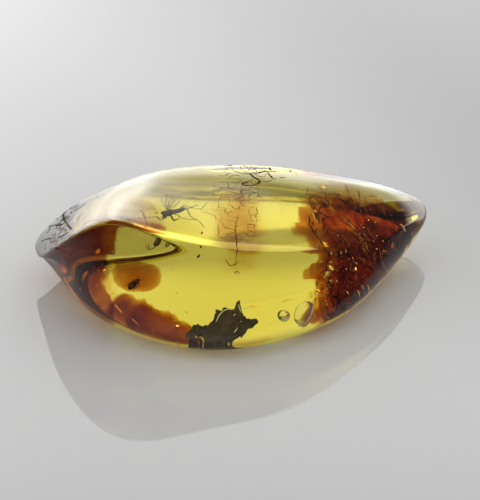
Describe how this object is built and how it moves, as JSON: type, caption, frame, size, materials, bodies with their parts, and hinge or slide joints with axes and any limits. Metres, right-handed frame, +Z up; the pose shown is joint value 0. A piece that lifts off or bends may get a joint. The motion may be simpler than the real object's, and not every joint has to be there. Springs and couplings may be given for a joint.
{
  "type": "insect in amber",
  "caption": "Polished fossil amber nugget, pointed at one end, clear yellow in the middle and red-brown with old crust at both ends, with a gnat, a beetle and a torn flake of bark sealed inside it.",
  "frame": {"origin": "middle of the flat that the nugget rests on, under the middle of its outer box", "axes": "+X along the nugget's length to its sharp end, +Z up, -Y the side with the tall front face"},
  "size_m": [0.0424, 0.0284, 0.0129],
  "materials": {
    "amber": "clear yellow fossil resin, polished to a gloss",
    "crust": "oxidised red-brown crust of the same resin, polished with it outside, dark and cracked inside",
    "gnat": "dark, dried insect body with smoky wings",
    "beetle": "black, slightly shining insect shell",
    "bark": "near-black, brittle, torn plant matter"
  },
  "bodies": {
    "root": {"amber_front": "amber", "amber_back": "amber", "crust_right": "crust", "crust_left": "crust", "gnat": "gnat", "beetle": "beetle", "bark_flake": "bark"}
  },
  "joints": []
}
